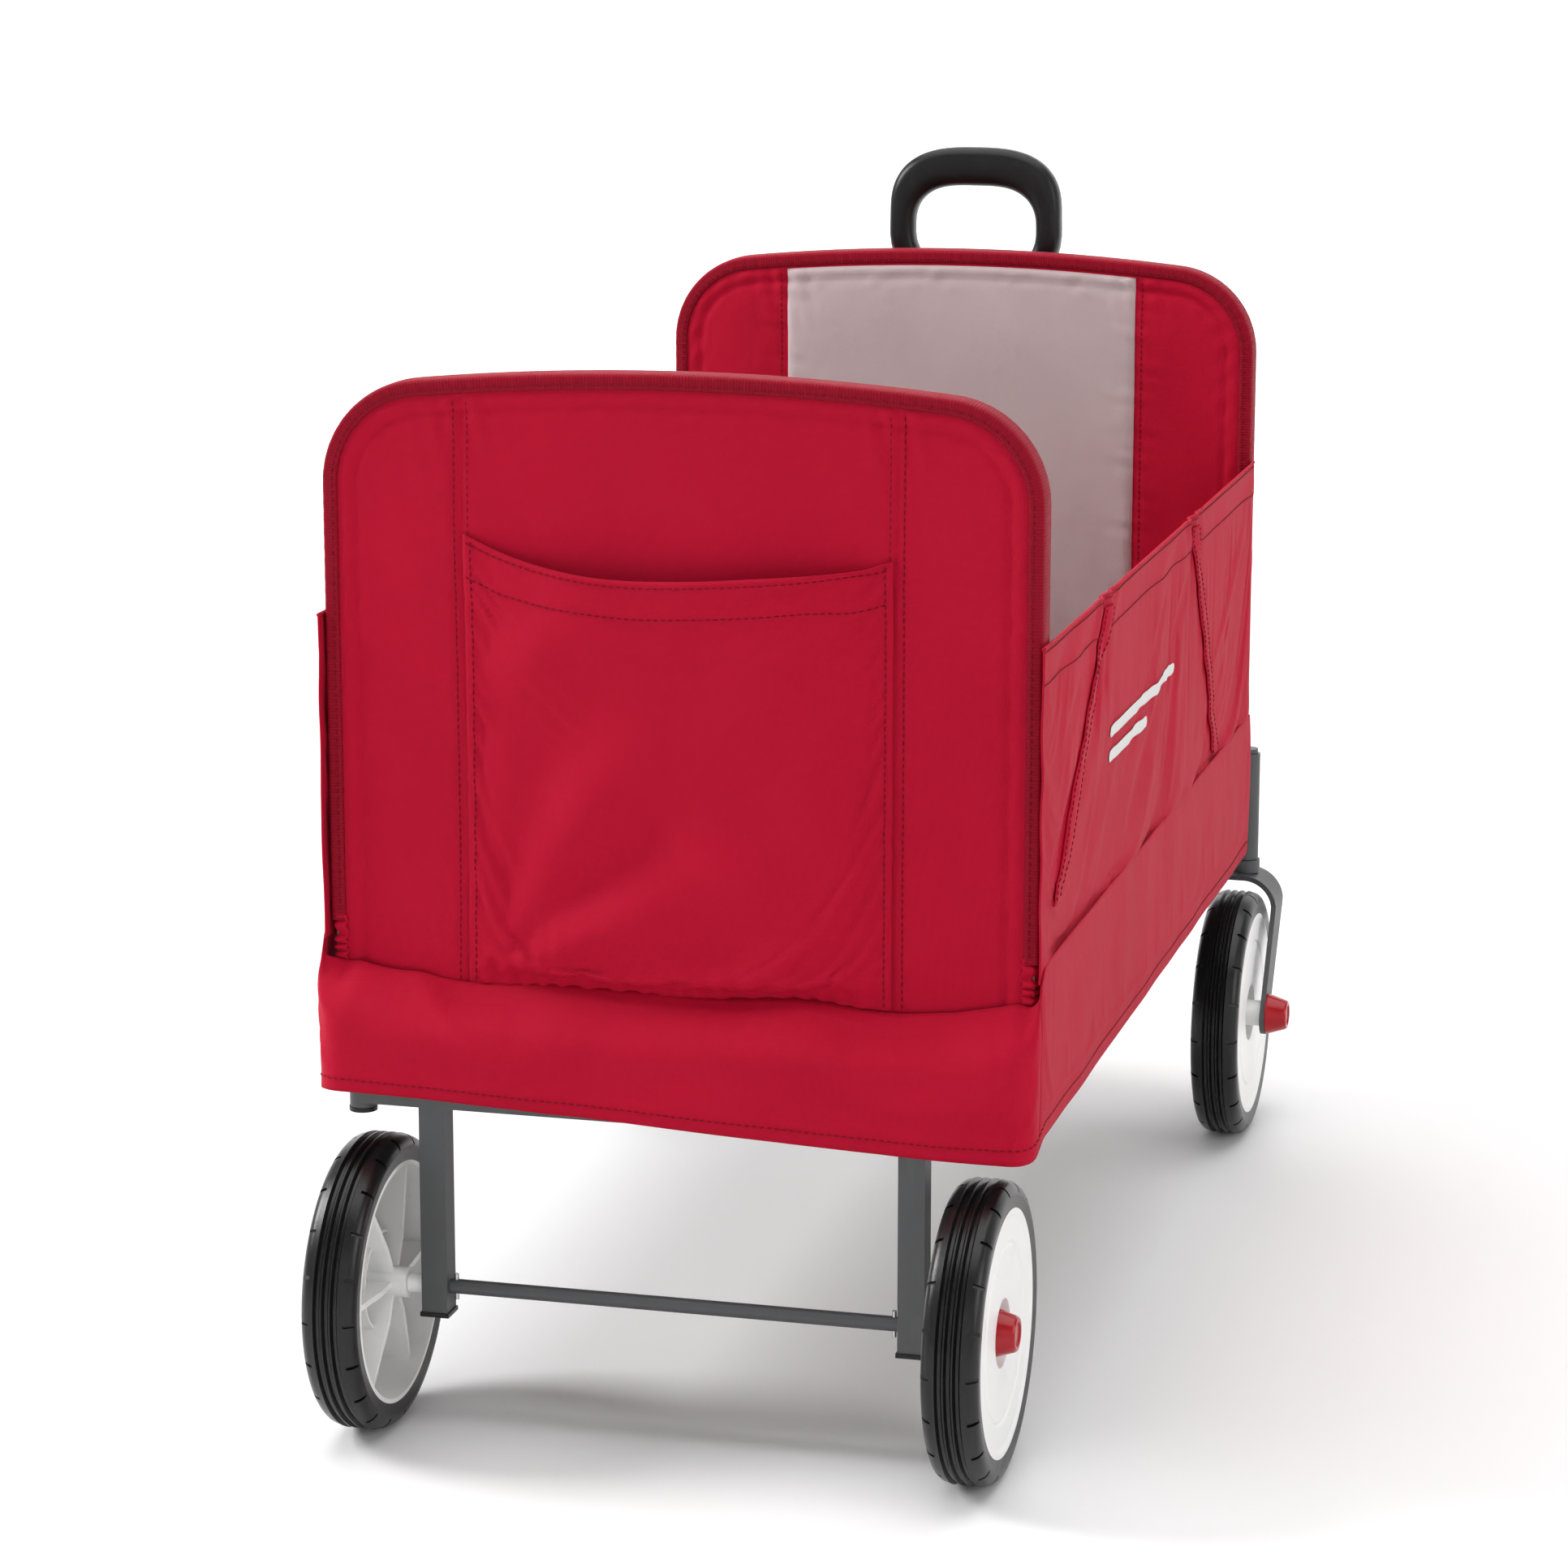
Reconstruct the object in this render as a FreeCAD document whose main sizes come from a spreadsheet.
"""Folding fabric wagon with a pull handle.

Millimetres. +Y runs to the handle end, +X to the wagon's right, +Z up. The origin is on the ground in
the middle of the overall box. The two end walls are padded panels on bent tube hoops. The floor is two
hinged halves, so that the ends fold together when the middle of the floor is lifted. The rear wheels
turn on one through axle and the front wheels are single-arm trailing casters.
"""
import FreeCAD
import Part
import math
import os
import Sketcher

doc = FreeCAD.newDocument("wagon")
sheet = doc.addObject("Spreadsheet::Sheet", "Dims")
nodes = []


class Size:
    """A length with its number and the sheet expression that it comes from."""

    def __init__(self, number, text):
        self.number = float(number)
        self.text = text

    @staticmethod
    def of(value):
        """Wrap a plain number, and pass a Size through."""
        return value if isinstance(value, Size) else Size(value, repr(float(value)))

    def __add__(self, other):
        other = Size.of(other)
        return Size(self.number + other.number, f"({self.text} + {other.text})")

    def __sub__(self, other):
        other = Size.of(other)
        return Size(self.number - other.number, f"({self.text} - {other.text})")

    def __mul__(self, other):
        other = Size.of(other)
        return Size(self.number * other.number, f"({self.text} * {other.text})")

    def __truediv__(self, other):
        other = Size.of(other)
        return Size(self.number / other.number, f"({self.text} / {other.text})")

    def __radd__(self, other):
        return Size.of(other) + self

    def __rsub__(self, other):
        return Size.of(other) - self

    def __rmul__(self, other):
        return Size.of(other) * self

    def __neg__(self):
        return Size(-self.number, f"(-1 * {self.text})")


def dimension(name, number, note):
    """Write one driving dimension into the sheet and return it."""
    row = dimension.row
    dimension.row += 1
    sheet.set(f"A{row}", note)
    sheet.set(f"B{row}", str(number))
    sheet.setAlias(f"B{row}", name)
    return Size(number, f"Dims.{name}")


dimension.row = 1

# ---------------------------------------------------------------- driving dimensions
wheel_d = dimension("wheel_diameter", 200, "tyre outside diameter")
wheelbase = dimension("wheelbase", 830, "rear axle to front axle")
tyre_h = dimension("tyre_height", 18, "tyre's tread to its seat on the rim")
wheel_w = dimension("wheel_width", 36, "rim and tyre width")
axle_r = dimension("axle_radius", 5, "axle rod radius")
wheel_in = dimension("rear_wheel_inset", 31.5, "end panel's edge to a rear wheel's middle")
trail = dimension("caster_trail", 57, "kingpin to front axle")
setback = dimension("axle_setback", 18.5, "rear panel's outer face to the rear axle")
lead = dimension("kingpin_lead", 12, "front panel's outer face to the kingpin")
panel_w = dimension("panel_width", 480, "end panel width")
panel_h = dimension("panel_height", 413, "end panel's lower edge to its highest point")
panel_t = dimension("panel_thickness", 20, "end panel thickness")
corner_r = dimension("corner_radius", 68, "end panel's top corners")
arch_r = dimension("arch_radius", 1705, "end panel's top edge")
pocket_h = dimension("pocket_height", 297, "rear pocket's height")
wheel_gap = dimension("wheel_gap", 26, "top of the wheels to the skirt's lower edge")
skirt_h = dimension("skirt_height", 77, "skirt's lower edge to the end panel")
seam_lift = dimension("seam_lift", 33, "end panel's lower edge to the seam under the side wall")
wall_h = dimension("wall_height", 216, "side wall's seam to its upper hem")
shoe_lift = dimension("shoe_lift", 40, "end panel's lower edge to the rear hoop's foot and the tape's end")
bar = dimension("cross_bar", 20, "square cross tube")
leg_w = dimension("leg_width", 18, "square leg tube")
leg_in = dimension("leg_inset", 76, "end panel's edge to a leg's middle")
leg_drop = dimension("leg_drop", 17, "rear axle to the leg's lower end")
post_in = dimension("post_inset", 25, "end panel's edge to a rear corner post")
post_r = dimension("post_radius", 9, "rear corner post radius")
fold_lift = dimension("fold_lift", 60, "skirt's lower edge to the three floor hinges")
fold_in = dimension("fold_inset", 46, "end panel's outer face to its floor hinge")
rail_in = dimension("rail_inset", 35, "end panel's edge to a floor rail's middle")
rail_w = dimension("rail_width", 16, "square floor rail")
ear_t = dimension("ear_thickness", 4, "hinge ears and fork plate")
pin_r = dimension("pin_radius", 4, "hinge pins of the floor")
play = dimension("running_play", 0.06, "radial clearance of a running fit")
head_gap = dimension("head_gap", 11, "top of the fork to the head tube")
head_h = dimension("head_height", 89, "head tube length")
stem_r = dimension("stem_radius", 6, "kingpin radius")
fork_over = dimension("fork_over", 6, "tyre to the top of the fork's flat part")
fork_beside = dimension("fork_beside", 7, "wheel's face to the fork's inner face")
fork_eye = dimension("fork_eye", 17, "radius of the fork's end")
fork_drop = dimension("fork_drop", 20, "front axle to below the fork's lowest point")
grip_w = dimension("grip_width", 144, "handle grip width")
grip_rise = dimension("grip_rise", 81, "end panel's highest point to the grip's")
grip_y = dimension("grip_stand_off", 38.5, "front panel's outer face to the grip's middle plane")
tube_r = dimension("handle_tube_radius", 11, "handle tube radius")

# ---------------------------------------------------------------- places that follow from them
SKIN = 2          # fabric thickness
GAP = 0.5         # side clearance between a plate and what it swings past
axle_z = wheel_d / 2
rim_r = axle_z - tyre_h
rear_y = -wheelbase / 2
front_y = wheelbase / 2
rear_face = rear_y + setback
kingpin_y = front_y + trail
front_face = kingpin_y - lead
half_w = panel_w / 2
kingpin_x = half_w
rear_wheel_x = half_w - wheel_in
leg_x = half_w - leg_in
post_x = half_w - post_in
rail_x = half_w - rail_in
rear_mid = rear_face + panel_t / 2
front_mid = front_face - panel_t / 2
hoop_r = panel_t / 2 - SKIN
skirt_z = wheel_d + wheel_gap
panel_base = skirt_z + skirt_h
panel_top = panel_base + panel_h
wall_seam = panel_base + seam_lift
wall_top = wall_seam + wall_h
shoe_z = panel_base + shoe_lift
post_top = panel_base - 24
leg_base = axle_z - leg_drop
fold_z = skirt_z + fold_lift
plate_top = wheel_d + fork_over
head_base = plate_top + head_gap
head_top = head_base + head_h
fork_x = wheel_w / 2 + fork_beside
fork_bend = fork_x - 1
fork_foot = axle_z - fork_drop
grip_top = panel_top + grip_rise
bar_z = skirt_z
bar_top = bar_z + bar
rear_hinge_y = rear_face + fold_in
front_hinge_y = front_face - fold_in
floor_mid_y = (rear_hinge_y + front_hinge_y) / 2
rail_base = fold_z - 2
rail_top = rail_base + rail_w
handle_y = front_face + grip_y


# ---------------------------------------------------------------- ways to make a piece
def bind(item, path, value):
    """Tie a property to the sheet, or set a plain number."""
    if isinstance(value, Size):
        item.setExpression(path, value.text)
        return
    item.setExpression(path, repr(float(value)))


def move(item, x=0, y=0, z=0, axis=None, angle=0):
    """Place an object, with its position tied to the sheet."""
    if axis is not None:
        item.Placement = FreeCAD.Placement(FreeCAD.Vector(), FreeCAD.Rotation(axis, angle))
    for letter, value in zip("xyz", (x, y, z)):
        bind(item, f"Placement.Base.{letter}", value)
    return item


def node(item, name):
    """Keep an object as one named piece of the wagon."""
    item.Label = name
    nodes.append(item)
    return item


def block(name, xs, ys, zs):
    """A box between pairs of X, Y and Z limits."""
    item = doc.addObject("Part::Box", name)
    for path, (low, high) in zip(("Length", "Width", "Height"), (xs, ys, zs)):
        bind(item, path, Size.of(high) - low)
    return move(item, xs[0], ys[0], zs[0])


X_AXIS = (FreeCAD.Vector(0, 1, 0), 90)
Y_AXIS = (FreeCAD.Vector(1, 0, 0), -90)


def rod(name, along, low, high, radius, across):
    """A cylinder along X, Y or Z from low to high, at the two other coordinates."""
    item = doc.addObject("Part::Cylinder", name)
    bind(item, "Radius", radius)
    bind(item, "Height", Size.of(high) - low)
    first, second = across
    if along == "x":
        return move(item, low, first, second, *X_AXIS)
    if along == "y":
        return move(item, first, low, second, *Y_AXIS)
    return move(item, first, second, low)


def fuse(name, *pieces):
    """Join pieces that touch or overlap into one solid."""
    item = doc.addObject("Part::MultiFuse", name)
    item.Shapes = list(pieces)
    item.Refine = True
    return item


def cut(name, base, *tools):
    """Take one or more tools out of a base."""
    item = doc.addObject("Part::Cut", name)
    item.Base = base
    item.Tool = tools[0] if len(tools) == 1 else fuse(f"{name}_tools", *tools)
    return item


def group(name, *pieces):
    """Identical small pieces that share one node."""
    item = doc.addObject("Part::Compound", name)
    item.Links = list(pieces)
    return item


def across(side, low, high):
    """X limits on the right (side 1) or mirrored to the left (side -1)."""
    return (low, high) if side > 0 else (-Size.of(high), -Size.of(low))


SIDES = (("left", -1), ("right", 1))


def new_sketch(body, role, name):
    """A sketch on one of the body's own origin planes."""
    sketch = body.newObject("Sketcher::SketchObject", name)
    plane = next(item for item in body.Origin.OriginFeatures if item.Role == role)
    sketch.AttachmentSupport = [(plane, "")]
    sketch.MapMode = "FlatFace"
    return sketch


def pin_point(sketch, index, end, u, v):
    """Hold a sketch point at two coordinates from the sheet."""
    for kind, value, axis in (("DistanceX", u, -2), ("DistanceY", v, -1)):
        value = Size.of(value)
        if abs(value.number) < 1e-9:
            sketch.addConstraint(Sketcher.Constraint("PointOnObject", index, end, axis))
            continue
        count = sketch.addConstraint(Sketcher.Constraint(kind, -1, 1, index, end, value.number))
        sketch.setExpression(f"Constraints[{count}]", value.text)


def arc_between(start, end, radius):
    """The short arc between two points. A positive radius turns left, a negative one right."""
    (x0, y0), (x1, y1) = start, end
    chord = math.hypot(x1 - x0, y1 - y0)
    rise = math.sqrt(radius * radius - chord * chord / 4) * math.copysign(1, radius)
    centre_x = (x0 + x1) / 2 - (y1 - y0) / chord * rise
    centre_y = (y0 + y1) / 2 + (x1 - x0) / chord * rise
    first = math.atan2(y0 - centre_y, x0 - centre_x)
    last = math.atan2(y1 - centre_y, x1 - centre_x)
    if radius < 0:
        first, last = last, first
    circle = Part.Circle(FreeCAD.Vector(centre_x, centre_y, 0), FreeCAD.Vector(0, 0, 1), abs(radius))
    return Part.ArcOfCircle(circle, first, last if last > first else last + 2 * math.pi)


def outline(body, role, name, corners, closed=True):
    """A profile through corners (u, v) or (u, v, radius of the arc to the next corner)."""
    sketch = new_sketch(body, role, name)
    places = [tuple(Size.of(value).number for value in corner[:2]) for corner in corners]
    count = len(corners) if closed else len(corners) - 1
    starts = []
    ends = []
    for index in range(count):
        start, end = places[index], places[(index + 1) % len(places)]
        radius = Size.of(corners[index][2]) if len(corners[index]) > 2 else None
        if radius is None:
            shape = Part.LineSegment(FreeCAD.Vector(*start, 0), FreeCAD.Vector(*end, 0))
        else:
            shape = arc_between(start, end, radius.number)
        sketch.addGeometry(shape, False)
        backwards = radius is not None and radius.number < 0
        starts.append(2 if backwards else 1)
        ends.append(1 if backwards else 2)
    for index in range(count):
        following = (index + 1) % count
        if closed or following:
            sketch.addConstraint(
                Sketcher.Constraint("Coincident", index, ends[index], following, starts[following]))
        pin_point(sketch, index, starts[index], *corners[index][:2])
    if not closed:
        pin_point(sketch, count - 1, ends[-1], *corners[-1][:2])
    for index in range(count):
        if len(corners[index]) > 2:
            radius = Size.of(corners[index][2])
            size = radius if radius.number > 0 else -radius
            held = sketch.addConstraint(Sketcher.Constraint("Radius", index, size.number))
            sketch.setExpression(f"Constraints[{held}]", size.text)
    return sketch


def rings(body, role, name, centre, *radii):
    """Concentric circles, as a round bar or a tube section."""
    sketch = new_sketch(body, role, name)
    middle = FreeCAD.Vector(*(Size.of(value).number for value in centre), 0)
    for index, radius in enumerate(radii):
        radius = Size.of(radius)
        sketch.addGeometry(Part.Circle(middle, FreeCAD.Vector(0, 0, 1), radius.number), False)
        if index:
            sketch.addConstraint(Sketcher.Constraint("Coincident", 0, 3, index, 3))
        else:
            pin_point(sketch, 0, 3, *centre)
        held = sketch.addConstraint(Sketcher.Constraint("Radius", index, radius.number))
        sketch.setExpression(f"Constraints[{held}]", radius.text)
    return sketch


def new_body(name):
    """An empty body, which holds one piece's sketches and their features."""
    return doc.addObject("PartDesign::Body", name)


def pad(body, sketch, length, both_ways=True, kind="Pad"):
    """Pad or pocket a sketch, evenly to both sides of its plane or to one side."""
    item = body.newObject(f"PartDesign::{kind}", f"{sketch.Name}_{kind.lower()}")
    item.Profile = sketch
    if both_ways:
        item.SideType = "Symmetric"
    bind(item, "Length", length)
    return item


def revolve(body, sketch, kind="Revolution"):
    """Turn a sketch about its own horizontal axis."""
    item = body.newObject(f"PartDesign::{kind}", f"{sketch.Name}_{kind.lower()}")
    item.Profile = sketch
    item.ReferenceAxis = (sketch, ["H_Axis"])
    item.Angle = 360
    return item


def around(body, feature, role, count):
    """Repeat a feature round one of the body's own axes."""
    item = body.newObject("PartDesign::PolarPattern", f"{feature.Name}_round")
    axis = next(entry for entry in body.Origin.OriginFeatures if entry.Role == role)
    item.Originals = [feature]
    item.Axis = (axis, [""])
    item.Angle = 360
    item.Occurrences = count
    body.Tip = item
    return item


# ---------------------------------------------------------------- end panels
ARCH_LEAN = math.asin((panel_w.number / 2 - corner_r.number) / (arch_r.number - corner_r.number))


def arch(inset, base, half=half_w, top=panel_top):
    """The end panel's outline, drawn inwards by inset and closed at the height base."""
    radius = corner_r - inset
    run = radius * (1 - math.sin(ARCH_LEAN))
    rise = radius * math.cos(ARCH_LEAN)
    side = half - inset
    shoulder = side - run
    crown = shoulder * shoulder / ((arch_r - inset) * 2)
    crown_r = (shoulder * shoulder + crown * crown) / (crown * 2)
    high = Size.of(top) - inset - crown
    return [(side, base), (side, high - rise, radius), (shoulder, high, crown_r),
            (-shoulder, high, radius), (-side, high - rise), (-side, base)]


def hoop(name, y, base):
    """The bent tube round an end panel."""
    body = new_body(name)
    inset = hoop_r + SKIN
    path = outline(body, "XZ_Plane", f"{name}_path", arch(inset, base), closed=False)
    section = rings(body, "XY_Plane", f"{name}_section", (half_w - inset, 0), hoop_r, hoop_r - 1.5)
    section.AttachmentOffset = FreeCAD.Placement(FreeCAD.Vector(0, 0, 0), FreeCAD.Rotation())
    bind(section, "AttachmentOffset.Base.z", base)
    pipe = body.newObject("PartDesign::AdditivePipe", f"{name}_pipe")
    pipe.Profile = section
    pipe.Spine = (path, [f"Edge{index + 1}" for index in range(5)])
    return node(move(body, y=y), name)


def panel_plate(name, inset, base, thickness, y, cuts=()):
    """A plate with the end panel's outline. Each cut is an outline and its depth about the middle."""
    body = new_body(name)
    pad(body, outline(body, "XZ_Plane", f"{name}_outline", arch(inset, base)), thickness)
    for index, (corners, depth) in enumerate(cuts):
        pad(body, outline(body, "XZ_Plane", f"{name}_cut{index}", corners), depth, kind="Pocket")
    return move(body, y=y)


def end_panel(name, middle, hoop_base, notch):
    """Hoop, padded core, sewn cover, edge tape and the pale lining on the inner side."""
    inwards = 1 if name == "rear" else -1
    hoop(f"{name}_hoop", middle, hoop_base)
    core_in = hoop_r * 2 + SKIN + GAP
    node(panel_plate(f"{name}_core", core_in, panel_base + SKIN, panel_t - 2 * SKIN, middle), f"{name}_core")
    below = panel_base - 10
    hollow = [(arch(SKIN, below), panel_t - 2 * SKIN)]
    cover = panel_plate(f"{name}_sleeve", 0, panel_base, panel_t, middle, hollow)
    hinge_y = rear_hinge_y if name == "rear" else front_hinge_y
    inner = middle + inwards * panel_t / 2
    ledge = [inner, hinge_y - inwards * 1.5] if inwards > 0 else [hinge_y + 1.5, inner]
    skin = [inner - inwards * SKIN, inner] if inwards > 0 else [inner, inner + SKIN]
    flap_x = rail_x - 17
    drop = block(f"{name}_drop", (-flap_x, flap_x), skin, (fold_z - 6, panel_base + 4))
    flap = block(f"{name}_flap", (-flap_x, flap_x), ledge, (fold_z - 6, fold_z - 4))
    cover = fuse(f"{name}_cover_sewn", cover, drop, flap)
    if notch:
        corner_blocks = [block(f"{name}_notch_{word}", across(side, half_w - core_in, half_w + 5),
                               (middle - panel_t, middle + panel_t), (below, shoe_z))
                         for word, side in SIDES]
        cover = cut(f"{name}_cover", cover, *corner_blocks)
    node(cover, f"{name}_cover")
    tape = [(arch(0, shoe_z - 10), panel_t), (arch(10, shoe_z - 10), panel_t + 10)]
    node(panel_plate(f"{name}_binding", -1.5, shoe_z, panel_t + 2, middle, tape), f"{name}_binding")
    face = middle + inwards * panel_t / 2
    body = new_body(f"{name}_lining")
    side = half_w * 0.6
    crown = side * side / (arch_r * 2)
    high = panel_top - 12 - crown
    lining = [(side, panel_base + 12), (side, high, (side * side + crown * crown) / (crown * 2)),
              (-side, high), (-side, panel_base + 12)]
    pad(body, outline(body, "XZ_Plane", f"{name}_lining_outline", lining), 1)
    node(move(body, y=face + inwards * 0.5), f"{name}_lining")


end_panel("rear", rear_mid, shoe_z, notch=True)
end_panel("front", front_mid, skirt_z - 2, notch=False)

# The pocket on the rear panel is an open-topped pouch between the panel's two seams.
pocket_half = half_w * 0.6
pocket_face = rear_face - 8
pocket_blank = block("pocket_blank", (-pocket_half, pocket_half), (pocket_face, rear_face),
                     (panel_base, panel_base + pocket_h))
pocket_room = block("pocket_room", (-pocket_half + SKIN, pocket_half - SKIN),
                    (pocket_face + SKIN, rear_face + 1), (panel_base + SKIN, panel_base + pocket_h + 3))
node(cut("rear_pocket", pocket_blank, pocket_room), "rear_pocket")

# ---------------------------------------------------------------- soft band and side walls
wall_x = half_w + 2
wall_rear = rear_face - 9
wall_front = front_face - 15
rear_skirt_y = rear_y - bar / 2 - 2 - SKIN
front_skirt_y = front_face + 1
node(block("rear_skirt", (-half_w + 2, half_w - 2), (rear_skirt_y, rear_skirt_y + SKIN),
           (skirt_z, panel_base)), "rear_skirt")
front_band = block("front_band", (18 - half_w, half_w - 18), (front_skirt_y, front_skirt_y + SKIN),
                   (skirt_z, panel_base))
handle_gap = block("handle_gap", (-22, 22), (front_skirt_y - 5, front_skirt_y + 10),
                   (skirt_z - 10, bar_top + 8))
node(cut("front_skirt", front_band, handle_gap), "front_skirt")
for word, side in SIDES:
    wall = block(f"side_wall_{word}", across(side, wall_x, wall_x + SKIN), (wall_rear, wall_front),
                 (wall_seam, wall_top))
    node(wall, f"side_wall_{word}")
    band = block(f"side_skirt_{word}", across(side, wall_x, wall_x + SKIN), (rear_skirt_y, wall_front),
                 (skirt_z + 2, wall_seam))
    node(band, f"side_skirt_{word}")

# ---------------------------------------------------------------- rear frame
for word, side in SIDES:
    where = (side * post_x, rear_y)
    inner, outer = across(side, half_w - 28, half_w - 2)
    ledge = block(f"rear_ledge_{word}", (inner, outer), (rear_y, rear_face), (post_top - 20, post_top))
    foot = block(f"rear_shoe_{word}", across(side, half_w - 18, half_w - 2),
                 (rear_face, rear_mid + hoop_r), (post_top - 20, shoe_z))
    stem = rod(f"rear_stem_{word}", "z", skirt_z - 4, post_top, post_r, where)
    bore = rod(f"rear_stem_bore_{word}", "z", skirt_z - 5, post_top - 5, post_r - 1.5, where)
    post = cut(f"rear_post_{word}", fuse(f"rear_post_blank_{word}", stem, ledge, foot), bore)
    node(post, f"rear_post_{word}")
post_caps = [rod(f"post_cap_{word}", "z", skirt_z - 7, skirt_z - 4, post_r + 0.5, (side * post_x, rear_y))
             for word, side in SIDES]
node(group("rear_post_caps", *post_caps), "rear_post_caps")


def fold_bracket(name, side, inner_y, hinge_y, base):
    """The ear that carries a floor hinge pin, welded to a cross tube."""
    plate_x = across(side, rail_x + rail_w / 2 + GAP, rail_x + rail_w / 2 + GAP + ear_t)
    eye = rod(f"{name}_eye", "x", *plate_x, pin_r + 6, (hinge_y, fold_z))
    body = new_body(f"{name}_web")
    over, under = fold_z + pin_r + 4, fold_z - pin_r - 4
    if inner_y.number > hinge_y.number:
        corners = [(inner_y, base), (inner_y, base + 16), (hinge_y, over), (hinge_y, under),
                   (inner_y - 20, base)]
    else:
        corners = [(inner_y, base), (inner_y + 20, base), (hinge_y, under), (hinge_y, over),
                   (inner_y, base + 16)]
    pad(body, outline(body, "YZ_Plane", f"{name}_web_outline", corners), ear_t)
    move(body, x=(plate_x[0] + plate_x[1]) / 2)
    hole = rod(f"{name}_hole", "x", plate_x[0] - 1, plate_x[1] + 1, pin_r, (hinge_y, fold_z))
    return cut(f"{name}_plate", fuse(f"{name}_blank", eye, body), hole)


def hinge_pin(name, side, hinge_y):
    """A headed pin through an ear and the rail's eye beside it."""
    edge = rail_x - rail_w / 2
    far = rail_x + rail_w / 2 + ear_t + GAP
    shaft = rod(f"{name}_shaft", "x", *across(side, edge - ear_t - 3, far + 2), pin_r, (hinge_y, fold_z))
    inner = rod(f"{name}_clip", "x", *across(side, edge - ear_t - 2.5, edge - ear_t - GAP), pin_r + 2.5,
                (hinge_y, fold_z))
    outer = rod(f"{name}_head", "x", *across(side, far, far + 2), pin_r + 2.5, (hinge_y, fold_z))
    return fuse(name, shaft, inner, outer)


def pins(name, hinge_y):
    """The left and right pins of one floor hinge."""
    node(group(name, *[hinge_pin(f"{name}_{word}", side, hinge_y) for word, side in SIDES]), name)


def square_tube(name, xs, ys, zs, along):
    """A square tube with a 2 mm wall, open at both ends."""
    outer = block(f"{name}_outside", xs, ys, zs)
    limits = [(low + 2, high - 2) for low, high in (xs, ys, zs)]
    limits["xyz".index(along)] = (xs, ys, zs)["xyz".index(along)]
    return cut(f"{name}_tube", outer, block(f"{name}_inside", *limits))


rear_bar = square_tube("rear_bar", (-post_x, post_x), (rear_y - bar / 2, rear_y + bar / 2),
                       (bar_z, bar_top), "x")
ears = [fold_bracket(f"rear_fold_ear_{word}", side, rear_y + bar / 2, rear_hinge_y, bar_z)
        for word, side in SIDES]
posts_room = [rod(f"rear_post_room_{word}", "z", skirt_z - 5, post_top, post_r, (side * post_x, rear_y))
              for word, side in SIDES]
rear_weld = fuse("rear_weld", rear_bar, *ears)
node(cut("rear_cross_tube", rear_weld, *posts_room), "rear_cross_tube")
pins("rear_fold_pins", rear_hinge_y)

leg_caps = []
for word, side in SIDES:
    middle = side * leg_x
    xs = (middle - leg_w / 2, middle + leg_w / 2)
    ys = (rear_y - leg_w / 2, rear_y + leg_w / 2)
    tube = square_tube(f"leg_{word}", xs, ys, (leg_base, bar_z), "z")
    hole = rod(f"leg_hole_{word}", "x", xs[0] - 1, xs[1] + 1, axle_r, (rear_y, axle_z))
    node(cut(f"rear_leg_{word}", tube, hole), f"rear_leg_{word}")
    leg_caps.append(block(f"leg_cap_{word}", (xs[0] - 1, xs[1] + 1), (ys[0] - 1, ys[1] + 1),
                          (leg_base - 3, leg_base)))
node(group("rear_leg_caps", *leg_caps), "rear_leg_caps")

# ---------------------------------------------------------------- wheels, axles and hubcaps
hub_r = 10.5
ring_r = 33
inner_reach = wheel_w / 2 + 6
recess_x = wheel_w / 2 - 10
cap_len = 17
lines = {"rear": (rear_wheel_x, rear_y, 0), "front": (kingpin_x, front_y, fork_x - recess_x - 0.3)}


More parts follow.
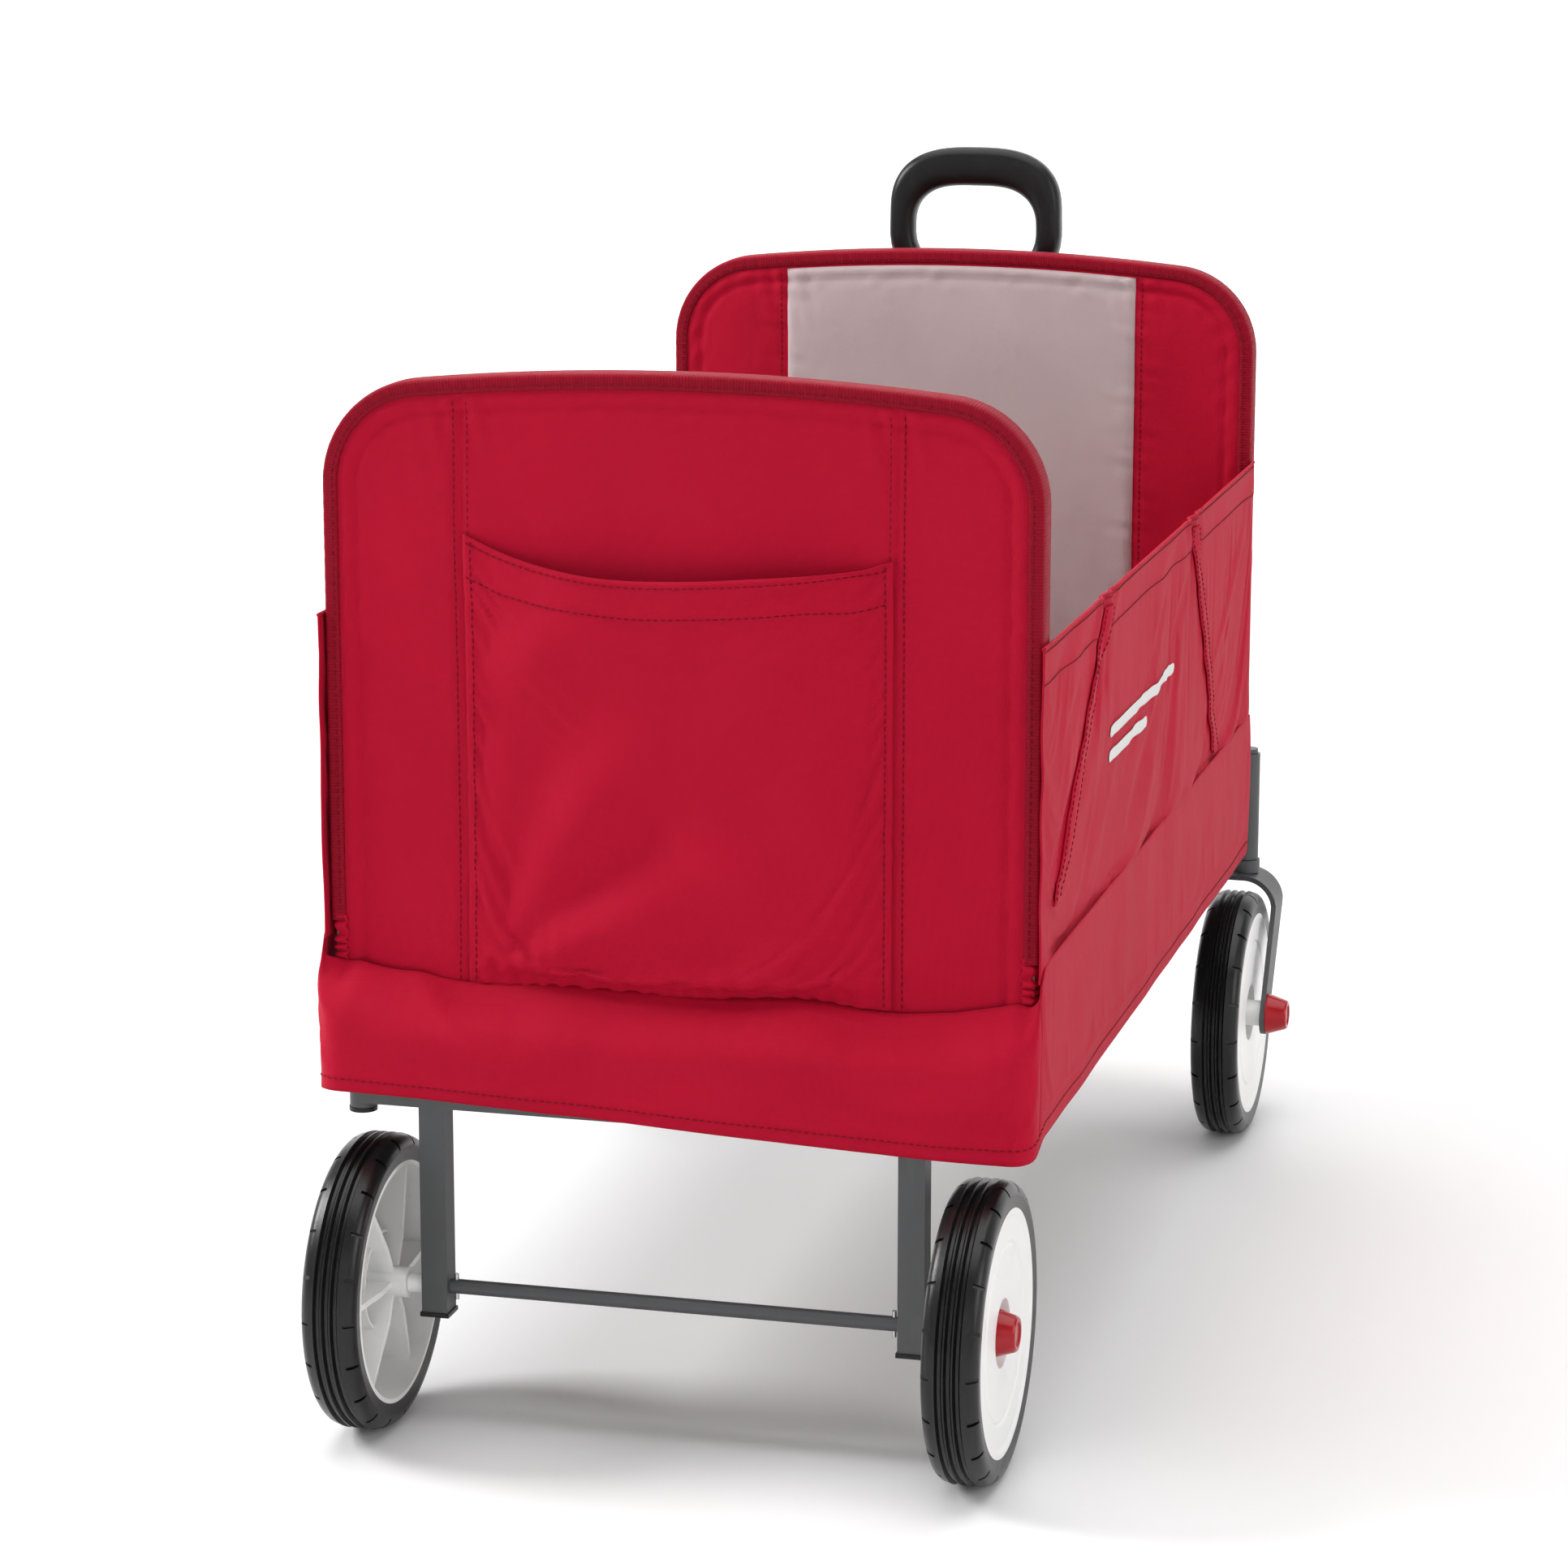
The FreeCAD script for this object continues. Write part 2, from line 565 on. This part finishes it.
def wheel(name, side, end):
    """A moulded rim with a dished face and webs behind it, and its ribbed tyre."""
    middle, y, reach = lines[end]
    half = wheel_w / 2
    barrel = rim_r - 3
    rim = new_body(f"{name}_rim")
    section = [(-inner_reach, axle_r + play), (recess_x + reach, axle_r + play), (recess_x + reach, hub_r),
               (recess_x, hub_r), (recess_x, 20.5), (half - 3, 23), (half - 1.8, rim_r - 25),
               (half - 3, rim_r - 23), (half - 1.6, rim_r - 21), (half - 1, rim_r - 6), (half, rim_r - 3),
               (half, rim_r), (-half, rim_r), (-half, barrel), (half - 5, barrel), (half - 6, rim_r - 20),
               (half - 7, ring_r + 1.5), (-4, ring_r + 1), (-4, ring_r - 1), (half - 7, ring_r - 1.5),
               (half - 7, 25), (recess_x - 3, 23), (recess_x - 3, hub_r), (-inner_reach, hub_r)]
    if not reach:
        section[1:4] = [(recess_x, axle_r + play)]
    revolve(rim, outline(rim, "XY_Plane", f"{name}_rim_section", section))
    web = [(4 - half, hub_r - 2), (4 - half, 30), (-half / 2, barrel + 1), (half - 5, barrel + 1),
           (half - 7, 24), (recess_x - 2, 22), (recess_x - 2, hub_r - 2)]
    rib = pad(rim, outline(rim, "XY_Plane", f"{name}_web", web), 4)
    around(rim, rib, "X_Axis", 6)
    turn = 0 if side > 0 else 180
    up = FreeCAD.Vector(0, 0, 1)
    node(move(rim, side * middle, y, axle_z, up, turn), f"{name}_rim")

    tyre = new_body(f"{name}_tyre")
    crown = wheel_d / 2
    tread = [(half, rim_r), (half + 1, rim_r + 8, 9), (half - 6, crown - 1)]
    for groove in (1, 0, -1):
        tread += [(groove * 6 + 2.5, crown), (groove * 6 + 1, crown - 2.5), (groove * 6 - 1, crown - 2.5),
                  (groove * 6 - 2.5, crown)]
    tread += [(6 - half, crown - 1, 9), (-half - 1, rim_r + 8), (-half, rim_r)]
    revolve(tyre, outline(tyre, "XY_Plane", f"{name}_tyre_section", tread))
    for hand in (-1, 1):
        mark = [(hand * (half - 6), crown - 2.5), (hand * (half - 6), crown + 1),
                (hand * (half + 3), crown + 1), (hand * (half + 3), crown - 10)]
        notch = pad(tyre, outline(tyre, "XY_Plane", f"{name}_notch_{hand + 1}", mark), 2.4, kind="Pocket")
        around(tyre, notch, "X_Axis", 20)
    node(move(tyre, side * middle, y, axle_z, up, turn), f"{name}_tyre")


def hubcap(name, side, base, y):
    """A tapered push-on cap with a ring on its face and a blind bore for the axle's end."""
    body = new_body(name)
    section = [(0, axle_r), (0, 16.3), (1.5, 16.5), (cap_len - 1.5, 12), (cap_len, 10.8), (cap_len, 8.5),
               (cap_len - 1, 8), (cap_len - 1, 0), (8, 0), (8, axle_r)]
    revolve(body, outline(body, "XY_Plane", f"{name}_section", section))
    return move(body, side * base, y, axle_z, FreeCAD.Vector(0, 0, 1), 0 if side > 0 else 180)


for end in lines:
    for word, side in SIDES:
        wheel(f"{end}_{word}_wheel", side, end)

rear_cap_x = rear_wheel_x + recess_x + 0.3
node(group("rear_hubcaps", *[hubcap(f"rear_hubcap_{word}", side, rear_cap_x, rear_y)
                             for word, side in SIDES]), "rear_hubcaps")
rod_blank = rod("rear_axle_blank", "x", -rear_cap_x - 7.5, rear_cap_x + 7.5, axle_r, (rear_y, axle_z))
clips = [rod(f"axle_clip_{word}", "z", axle_z - 9, axle_z + 9, 1.5,
             (side * (leg_x - leg_w / 2 - 4), rear_y)) for word, side in SIDES]
node(cut("rear_axle", rod_blank, *clips), "rear_axle")
node(group("rear_axle_clips", *clips), "rear_axle_clips")
bushes = []
for word, side in SIDES:
    xs = across(side, leg_x + leg_w / 2, rear_wheel_x - inner_reach - 0.3)
    sleeve = rod(f"bush_outside_{word}", "x", *xs, 6.5, (rear_y, axle_z))
    bore = rod(f"bush_bore_{word}", "x", xs[0] - 1, xs[1] + 1, axle_r, (rear_y, axle_z))
    bushes.append(cut(f"bush_{word}", sleeve, bore))
node(group("rear_bushes", *bushes), "rear_bushes")

# ---------------------------------------------------------------- floor
board_x = half_w - 4


def floor_half(name, outer_y, centre_ear_x):
    """Two rails and a cross bar welded together, a board and a mat, between an end hinge and the middle."""
    to_middle = outer_y.number < floor_mid_y.number
    near, far = (outer_y + 14, floor_mid_y - 14) if to_middle else (floor_mid_y + 14, outer_y - 14)
    pieces = []
    holes = []
    edge = rail_w / 2
    for word, side in SIDES:
        rail = square_tube(f"{name}_rail_{word}", across(side, rail_x - edge, rail_x + edge), (near, far),
                           (rail_base, rail_top), "y")
        pieces.append(rail)
        for label, hinge_y, ear_x in (("end", outer_y, rail_x - edge - ear_t),
                                      ("middle", floor_mid_y, centre_ear_x)):
            inwards = 40 if (hinge_y.number < (near.number + far.number) / 2) else -40
            ys = (hinge_y, hinge_y + inwards) if inwards > 0 else (hinge_y + inwards, hinge_y)
            xs = across(side, ear_x, ear_x + ear_t)
            tag = f"{name}_{label}_{word}"
            pieces.append(block(f"{tag}_ear", xs, ys, (fold_z - pin_r - 5, fold_z + pin_r + 5)))
            pieces.append(rod(f"{tag}_eye", "x", *xs, pin_r + 5, (hinge_y, fold_z)))
            bore = pin_r if label == "middle" and not to_middle else pin_r + play
            holes.append(rod(f"{tag}_hole", "x", xs[0] - 1, xs[1] + 1, bore, (hinge_y, fold_z)))
    middle = (near + far) / 2
    near, far = (outer_y + 2, far) if to_middle else (near, outer_y - 2)
    tie = square_tube(f"{name}_tie", (edge - rail_x, rail_x - edge), (middle - edge, middle + edge),
                      (rail_base, rail_top), "x")
    node(cut(f"{name}_frame", fuse(f"{name}_weld", *pieces, tie), *holes), f"{name}_frame")
    ys = (near, floor_mid_y - 1) if to_middle else (floor_mid_y + 1, far)
    node(block(f"{name}_board", (-board_x, board_x), ys, (rail_top, rail_top + 6)), f"{name}_board")
    node(block(f"{name}_mat", (-board_x, board_x), ys, (rail_top + 6, rail_top + 11)), f"{name}_mat")


floor_half("floor_rear", rear_hinge_y, rail_x - rail_w / 2 - ear_t)
floor_half("floor_front", front_hinge_y, rail_x + rail_w / 2)
pins("floor_middle_pins", floor_mid_y)
node(block("pull_strap", (-13, 13), (floor_mid_y + 6, floor_mid_y + 126), (rail_top + 11, rail_top + 13)),
     "pull_strap")

# ---------------------------------------------------------------- front frame, head tubes and casters
front_bar_y = front_mid
hoop_x = half_w - hoop_r - SKIN
front_bar = square_tube("front_bar", (-hoop_x, hoop_x), (front_bar_y - bar / 2, front_bar_y + bar / 2),
                        (bar_z, bar_top), "x")
front_ears = [fold_bracket(f"front_fold_ear_{word}", side, front_bar_y - bar / 2, front_hinge_y, bar_z)
              for word, side in SIDES]
hoops_room = [rod(f"front_hoop_room_{word}", "z", bar_z - 5, bar_top + 5, hoop_r,
                  (side * hoop_x, front_bar_y)) for word, side in SIDES]
handle_pivot_y = handle_y + 6.5
handle_pivot_z = bar_z + 14
handle_ears = []
for word, side in SIDES:
    xs = across(side, tube_r + 1 + GAP, tube_r + 1 + GAP + ear_t)
    handle_ears.append(block(f"handle_ear_{word}", xs, (front_bar_y + bar / 2, handle_pivot_y),
                             (handle_pivot_z - 9, bar_top)))
    handle_ears.append(rod(f"handle_ear_eye_{word}", "x", *xs, 9, (handle_pivot_y, handle_pivot_z)))
handle_ears.append(block("handle_stop", (-tube_r - 2, tube_r + 2),
                         (front_bar_y + bar / 2, handle_y - tube_r - 0.3), (bar_top - 5, bar_top)))
handle_hole = rod("handle_ear_hole", "x", -tube_r - 10, tube_r + 10, axle_r, (handle_pivot_y, handle_pivot_z))
front_weld = fuse("front_weld", front_bar, *front_ears, *handle_ears)
node(cut("front_cross_tube", front_weld, handle_hole, *hoops_room), "front_cross_tube")
pins("front_fold_pins", front_hinge_y)
hoop_caps = [rod(f"hoop_cap_{word}", "z", skirt_z - 5, skirt_z - 2, hoop_r + 1, (side * hoop_x, front_mid))
             for word, side in SIDES]
node(group("front_hoop_caps", *hoop_caps), "front_hoop_caps")

for word, side in SIDES:
    where = (side * kingpin_x, kingpin_y)
    tube = rod(f"head_outside_{word}", "z", head_base, head_top, 10, where)
    cap = rod(f"head_cap_{word}", "z", head_top, head_top + 4, 8, where)
    web = block(f"head_web_{word}", across(side, kingpin_x - 16, kingpin_x - 4), (front_mid, kingpin_y),
                (bar_top, panel_base - 6))
    bore = rod(f"head_bore_{word}", "z", head_base - 1, head_top - 4, stem_r + play, where)
    room = rod(f"head_room_{word}", "z", head_base - 1, head_top, hoop_r, (side * hoop_x, front_mid))
    node(cut(f"head_tube_{word}", fuse(f"head_weld_{word}", tube, cap, web), bore, room), f"head_tube_{word}")


def fork(name, side):
    """One bent strip: flat under the head tube, then down outside the wheel to the axle, with its kingpin."""
    low = plate_top - ear_t
    reach = fork_x + ear_t
    strip = new_body(f"{name}_strip")
    section = [(-22, low), (fork_x - fork_bend, low, -fork_bend), (fork_x, low - fork_bend),
               (fork_x, fork_foot), (reach, fork_foot), (reach, low - fork_bend, fork_bend + ear_t),
               (fork_x - fork_bend, plate_top), (-22, plate_top)]
    mirrored = [(side * corner[0], corner[1], *[side * radius for radius in corner[2:]])
                for corner in section]
    pad(strip, outline(strip, "XZ_Plane", f"{name}_strip_section", mirrored), 220)
    flank = new_body(f"{name}_flank")
    shoulder = plate_top - 24
    eye_r = fork_eye * 1.00001  # a hair over half the chord, so that the half circle keeps a real centre
    side_view = [(-20, plate_top + 1), (-20, shoulder), (-fork_eye - trail, axle_z, eye_r),
                 (fork_eye - trail, axle_z), (20, shoulder), (20, plate_top + 1)]
    pad(flank, outline(flank, "YZ_Plane", f"{name}_flank_outline", side_view), 140)
    arm = doc.addObject("Part::Common", f"{name}_arm")
    arm.Base = strip
    arm.Tool = flank
    stem = rod(f"{name}_stem", "z", plate_top, head_top - 6, stem_r, (0, 0))
    collar = rod(f"{name}_collar", "z", plate_top, head_base - GAP, 11.5, (0, 0))
    hole = rod(f"{name}_hole", "x", *across(side, fork_x - 1, reach + 1), axle_r, (-trail, axle_z))
    return move(cut(f"{name}_fork", fuse(f"{name}_weld", arm, stem, collar), hole),
                side * kingpin_x, kingpin_y, 0)


for word, side in SIDES:
    name = f"caster_{word}"
    node(fork(name, side), f"{name}_fork")
    outer_x = kingpin_x + fork_x + ear_t
    inner_x = kingpin_x - inner_reach - 0.3
    shaft = rod(f"{name}_shaft", "x", *across(side, inner_x - 3, outer_x + 7.5), axle_r, (front_y, axle_z))
    head = rod(f"{name}_head", "x", *across(side, inner_x - 3, inner_x), 8, (front_y, axle_z))
    node(fuse(f"{name}_axle", shaft, head), f"{name}_axle")
    node(hubcap(f"{name}_hubcap_body", side, outer_x + 0.2, front_y), f"{name}_hubcap")

# ---------------------------------------------------------------- pull handle
grip_base = grip_top - 187
tube_low = handle_pivot_z
shaft = rod("handle_shaft", "z", tube_low, grip_base + 30, tube_r, (0, handle_y))
eye = rod("handle_eye", "x", -tube_r - 1, tube_r + 1, 9.5, (handle_pivot_y, handle_pivot_z))
hollow = rod("handle_bore", "z", tube_low + 20, grip_base + 31, tube_r - 1.5, (0, handle_y))
eye_hole = rod("handle_eye_hole", "x", -tube_r - 2, tube_r + 2, axle_r + play,
               (handle_pivot_y, handle_pivot_z))
node(cut("handle_tube", fuse("handle_weld", shaft, eye), hollow, eye_hole), "handle_tube")
pin_shaft = rod("handle_pin_shaft", "x", -tube_r - 8, tube_r + 8, axle_r, (handle_pivot_y, handle_pivot_z))
pin_heads = [rod(f"handle_pin_head_{word}", "x", *across(side, tube_r + 1 + GAP + ear_t, tube_r + 8), 7.5,
                 (handle_pivot_y, handle_pivot_z)) for word, side in SIDES]
node(fuse("handle_pin", pin_shaft, *pin_heads), "handle_pin")

grip = new_body("grip_body")
half = grip_w / 2
neck = tube_r + 6
loop = [(neck, grip_base), (neck, grip_base + 30), (half, grip_base + 85), (half, grip_top - 60, 60),
        (half - 60, grip_top), (60 - half, grip_top, 60), (-half, grip_top - 60),
        (-half, grip_base + 85), (-neck, grip_base + 30), (-neck, grip_base)]
pad(grip, outline(grip, "XZ_Plane", "grip_outline", loop), 26)
hand = half - 21
room = [(12, grip_base + 56), (hand, grip_base + 92), (hand, grip_top - 33 - 36, 36),
        (hand - 36, grip_top - 33), (36 - hand, grip_top - 33, 36), (-hand, grip_top - 33 - 36),
        (-hand, grip_base + 92), (-12, grip_base + 56)]
pad(grip, outline(grip, "XZ_Plane", "grip_opening", room), 40, kind="Pocket")
move(grip, y=handle_y)
socket = rod("grip_socket", "z", grip_base - 1, grip_base + 30, tube_r, (0, handle_y))
node(cut("handle_grip_bored", grip, socket), "handle_grip")

# ---------------------------------------------------------------- checks and files
doc.recompute()
faults = [item.Name for item in doc.Objects if {"Invalid", "Error"} & set(item.State)]
for item in nodes:
    if item.Shape.isNull() or not item.Shape.isValid() or not item.Shape.Solids:
        faults.append(item.Label)
if faults:
    raise SystemExit(f"failed objects: {faults}")
os.makedirs("parts", exist_ok=True)
for item in nodes:
    item.Shape.exportStep(os.path.join("parts", f"{item.Label}.step"))
print(len(nodes), "pieces written")
